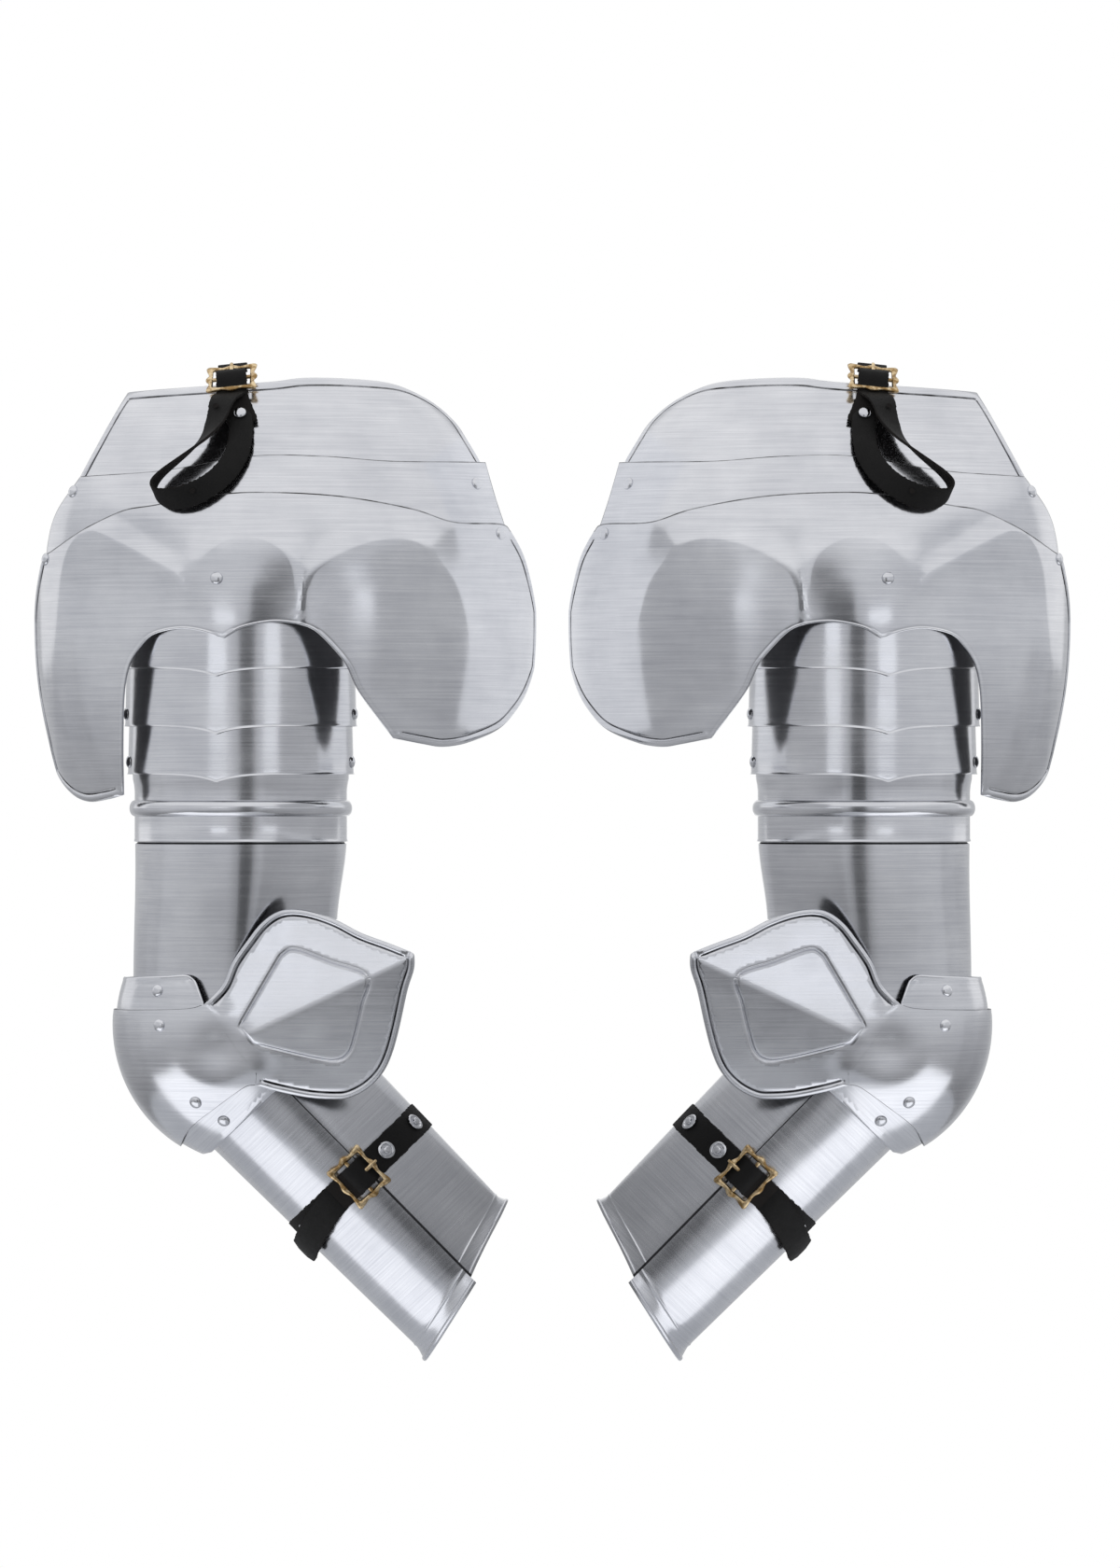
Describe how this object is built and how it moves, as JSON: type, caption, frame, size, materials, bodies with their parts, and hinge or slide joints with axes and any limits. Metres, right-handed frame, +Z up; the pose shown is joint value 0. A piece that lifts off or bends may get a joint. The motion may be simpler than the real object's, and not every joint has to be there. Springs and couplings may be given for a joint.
{
  "type": "plate arm armour pair",
  "caption": "Pair of plate arm harnesses: layered shoulder plates, upper arm lames, turning cannon, winged elbow and hinged forearm with a strap and buckle.",
  "frame": {"origin": "top of the right arm's shoulder strap where it crosses the buckle's middle bar", "axes": "+Z up along the upper arm, +X from the right arm to the left arm, outer faces look along -Y"},
  "size_m": [0.6728, 0.1645, 0.6471],
  "materials": {
    "polished_steel": "polished by hand, fine brush marks",
    "leather": "black, dull, raw cut edges",
    "buckle_brass": "cast, worn"
  },
  "bodies": {
    "shoulder_plates": {"right_top_plate": "polished_steel", "right_shoulder_chape": "leather", "right_shoulder_buckle_frame": "buckle_brass", "right_shoulder_strap": "leather", "left_top_plate": "polished_steel", "left_shoulder_chape": "leather", "left_shoulder_buckle_frame": "buckle_brass", "left_shoulder_strap": "leather"},
    "right_second_plate_body": {"right_second_plate": "polished_steel"},
    "right_main_plate_body": {"right_main_plate": "polished_steel", "right_lame_leather": "leather"},
    "right_upper_lame_1_body": {"right_upper_lame_1": "polished_steel"},
    "right_upper_lame_2_body": {"right_upper_lame_2": "polished_steel"},
    "right_upper_lame_3_body": {"right_upper_lame_3": "polished_steel"},
    "right_collar_body": {"right_collar": "polished_steel"},
    "right_upper_cannon_body": {"right_upper_cannon": "polished_steel"},
    "right_couter_upper_lame_body": {"right_couter_upper_lame": "polished_steel"},
    "right_couter_body": {"right_couter": "polished_steel"},
    "right_couter_lower_lame_body": {"right_couter_lower_lame": "polished_steel"},
    "right_vambrace_outer_body": {"right_vambrace_outer": "polished_steel", "right_vambrace_hinge_pin_upper": "polished_steel", "right_vambrace_hinge_pin_lower": "polished_steel", "right_vambrace_chape": "leather", "right_vambrace_buckle_frame": "buckle_brass"},
    "right_vambrace_inner_body": {"right_vambrace_inner": "polished_steel", "right_vambrace_strap": "leather", "right_vambrace_strap_washer_1": "polished_steel", "right_vambrace_strap_washer_2": "polished_steel"},
    "right_vambrace_tongue_body": {"right_vambrace_buckle_tongue": "buckle_brass"},
    "right_shoulder_tongue_body": {"right_shoulder_buckle_tongue": "buckle_brass"},
    "left_second_plate_body": {"left_second_plate": "polished_steel"},
    "left_main_plate_body": {"left_main_plate": "polished_steel", "left_lame_leather": "leather"},
    "left_upper_lame_1_body": {"left_upper_lame_1": "polished_steel"},
    "left_upper_lame_2_body": {"left_upper_lame_2": "polished_steel"},
    "left_upper_lame_3_body": {"left_upper_lame_3": "polished_steel"},
    "left_collar_body": {"left_collar": "polished_steel"},
    "left_upper_cannon_body": {"left_upper_cannon": "polished_steel"},
    "left_couter_upper_lame_body": {"left_couter_upper_lame": "polished_steel"},
    "left_couter_body": {"left_couter": "polished_steel"},
    "left_couter_lower_lame_body": {"left_couter_lower_lame": "polished_steel"},
    "left_vambrace_outer_body": {"left_vambrace_outer": "polished_steel", "left_vambrace_hinge_pin_upper": "polished_steel", "left_vambrace_hinge_pin_lower": "polished_steel", "left_vambrace_chape": "leather", "left_vambrace_buckle_frame": "buckle_brass"},
    "left_vambrace_inner_body": {"left_vambrace_inner": "polished_steel", "left_vambrace_strap": "leather", "left_vambrace_strap_washer_1": "polished_steel", "left_vambrace_strap_washer_2": "polished_steel"},
    "left_vambrace_tongue_body": {"left_vambrace_buckle_tongue": "buckle_brass"},
    "left_shoulder_tongue_body": {"left_shoulder_buckle_tongue": "buckle_brass"}
  },
  "joints": [
    {"name": "right_second_plate_swing", "type": "hinge", "parent": "shoulder_plates", "child": "right_second_plate_body", "pos_m": [0.03217, 0.01038, -0.07495], "axis": [-0.9997, 0.0159, -0.0192], "range_deg": [-1, 1]},
    {"name": "right_main_plate_swing", "type": "hinge", "parent": "right_second_plate_body", "child": "right_main_plate_body", "pos_m": [0.02752, 0.02019, -0.11302], "axis": [-0.9957, 0.0747, -0.0548], "range_deg": [-3, 2]},
    {"name": "right_upper_lame_1_swing", "type": "hinge", "parent": "right_main_plate_body", "child": "right_upper_lame_1_body", "pos_m": [0.00694, 0.00311, -0.15975], "axis": [-1, 0, 0], "range_deg": [-6, 5], "deforming": ["right_lame_leather"]},
    {"name": "right_upper_lame_2_swing", "type": "hinge", "parent": "right_upper_lame_1_body", "child": "right_upper_lame_2_body", "pos_m": [0.00694, 0.00312, -0.18455], "axis": [-1, 0, 0], "range_deg": [-6, 4]},
    {"name": "right_upper_lame_3_swing", "type": "hinge", "parent": "right_upper_lame_2_body", "child": "right_upper_lame_3_body", "pos_m": [0.00694, 0.00343, -0.22175], "axis": [-1, 0, 0], "range_deg": [-6, 4]},
    {"name": "right_collar_swing", "type": "hinge", "parent": "right_upper_lame_3_body", "child": "right_collar_body", "pos_m": [0.00694, 0.00374, -0.25275], "axis": [-1, 0, 0], "range_deg": [-6, 6]},
    {"name": "right_arm_turn", "type": "hinge", "parent": "right_collar_body", "child": "right_upper_cannon_body", "pos_m": [0.00694, 0.01641, -0.28275], "axis": [0, 0, 1], "range_deg": [-30, 30]},
    {"name": "right_elbow_upper_lame_bend", "type": "hinge", "parent": "right_upper_cannon_body", "child": "right_couter_upper_lame_body", "pos_m": [-0.04544, 0.01641, -0.40012], "axis": [0, -1, 0], "range_deg": [-1, 6]},
    {"name": "right_elbow_bend", "type": "hinge", "parent": "right_couter_upper_lame_body", "child": "right_couter_body", "pos_m": [-0.04424, 0.01641, -0.42238], "axis": [0, -1, 0], "range_deg": [-1, 6]},
    {"name": "right_elbow_lower_lame_bend", "type": "hinge", "parent": "right_couter_body", "child": "right_couter_lower_lame_body", "pos_m": [-0.02087, 0.01641, -0.47215], "axis": [0, -1, 0], "range_deg": [-1, 6]},
    {"name": "right_forearm_bend", "type": "hinge", "parent": "right_couter_lower_lame_body", "child": "right_vambrace_outer_body", "pos_m": [-0.00284, 0.01641, -0.48411], "axis": [0, -1, 0], "range_deg": [-1, 6]},
    {"name": "right_vambrace_open", "type": "hinge", "parent": "right_vambrace_outer_body", "child": "right_vambrace_inner_body", "pos_m": [0.05554, 0.07341, -0.4906], "axis": [-0.7019, 0.0201, 0.712], "range_deg": [0, 60], "deforming": ["right_vambrace_strap"]},
    {"name": "right_vambrace_tongue_lift", "type": "hinge", "parent": "right_vambrace_outer_body", "child": "right_vambrace_tongue_body", "pos_m": [0.08434, -0.04377, -0.51979], "axis": [0.6934, 0, -0.7206], "range_deg": [0, 40]},
    {"name": "right_shoulder_tongue_lift", "type": "hinge", "parent": "shoulder_plates", "child": "right_shoulder_tongue_body", "pos_m": [0.00098, 0.00313, -0.00467], "axis": [0.9852, -0.0995, 0.1393], "range_deg": [0, 40]},
    {"name": "left_second_plate_swing", "type": "hinge", "parent": "shoulder_plates", "child": "left_second_plate_body", "pos_m": [0.38543, 0.01038, -0.07495], "axis": [-0.9997, -0.0159, 0.0192], "range_deg": [-1, 1]},
    {"name": "left_main_plate_swing", "type": "hinge", "parent": "left_second_plate_body", "child": "left_main_plate_body", "pos_m": [0.39008, 0.02019, -0.11302], "axis": [-0.9957, -0.0747, 0.0548], "range_deg": [-3, 2]},
    {"name": "left_upper_lame_1_swing", "type": "hinge", "parent": "left_main_plate_body", "child": "left_upper_lame_1_body", "pos_m": [0.41066, 0.00311, -0.15975], "axis": [-1, 0, 0], "range_deg": [-6, 5], "deforming": ["left_lame_leather"]},
    {"name": "left_upper_lame_2_swing", "type": "hinge", "parent": "left_upper_lame_1_body", "child": "left_upper_lame_2_body", "pos_m": [0.41066, 0.00312, -0.18455], "axis": [-1, 0, 0], "range_deg": [-6, 4]},
    {"name": "left_upper_lame_3_swing", "type": "hinge", "parent": "left_upper_lame_2_body", "child": "left_upper_lame_3_body", "pos_m": [0.41066, 0.00343, -0.22175], "axis": [-1, 0, 0], "range_deg": [-6, 4]},
    {"name": "left_collar_swing", "type": "hinge", "parent": "left_upper_lame_3_body", "child": "left_collar_body", "pos_m": [0.41066, 0.00374, -0.25275], "axis": [-1, 0, 0], "range_deg": [-6, 6]},
    {"name": "left_arm_turn", "type": "hinge", "parent": "left_collar_body", "child": "left_upper_cannon_body", "pos_m": [0.41066, 0.01641, -0.28275], "axis": [0, 0, -1], "range_deg": [-30, 30]},
    {"name": "left_elbow_upper_lame_bend", "type": "hinge", "parent": "left_upper_cannon_body", "child": "left_couter_upper_lame_body", "pos_m": [0.46304, 0.01641, -0.40012], "axis": [0, 1, 0], "range_deg": [-1, 6]},
    {"name": "left_elbow_bend", "type": "hinge", "parent": "left_couter_upper_lame_body", "child": "left_couter_body", "pos_m": [0.46184, 0.01641, -0.42238], "axis": [0, 1, 0], "range_deg": [-1, 6]},
    {"name": "left_elbow_lower_lame_bend", "type": "hinge", "parent": "left_couter_body", "child": "left_couter_lower_lame_body", "pos_m": [0.43847, 0.01641, -0.47215], "axis": [0, 1, 0], "range_deg": [-1, 6]},
    {"name": "left_forearm_bend", "type": "hinge", "parent": "left_couter_lower_lame_body", "child": "left_vambrace_outer_body", "pos_m": [0.42044, 0.01641, -0.48411], "axis": [0, 1, 0], "range_deg": [-1, 6]},
    {"name": "left_vambrace_open", "type": "hinge", "parent": "left_vambrace_outer_body", "child": "left_vambrace_inner_body", "pos_m": [0.36206, 0.07341, -0.4906], "axis": [-0.7019, -0.0201, -0.712], "range_deg": [0, 60], "deforming": ["left_vambrace_strap"]},
    {"name": "left_vambrace_tongue_lift", "type": "hinge", "parent": "left_vambrace_outer_body", "child": "left_vambrace_tongue_body", "pos_m": [0.33326, -0.04377, -0.51979], "axis": [0.6934, 0, 0.7206], "range_deg": [0, 40]},
    {"name": "left_shoulder_tongue_lift", "type": "hinge", "parent": "shoulder_plates", "child": "left_shoulder_tongue_body", "pos_m": [0.41662, 0.00313, -0.00467], "axis": [0.9852, 0.0995, -0.1393], "range_deg": [0, 40]}
  ],
  "couplings": [
    {"joint": "right_elbow_upper_lame_bend", "follows": "right_elbow_bend", "ratio": 1},
    {"joint": "right_elbow_lower_lame_bend", "follows": "right_elbow_bend", "ratio": 1},
    {"joint": "right_forearm_bend", "follows": "right_elbow_bend", "ratio": 1},
    {"joint": "left_elbow_upper_lame_bend", "follows": "left_elbow_bend", "ratio": 1},
    {"joint": "left_elbow_lower_lame_bend", "follows": "left_elbow_bend", "ratio": 1},
    {"joint": "left_forearm_bend", "follows": "left_elbow_bend", "ratio": 1}
  ]
}
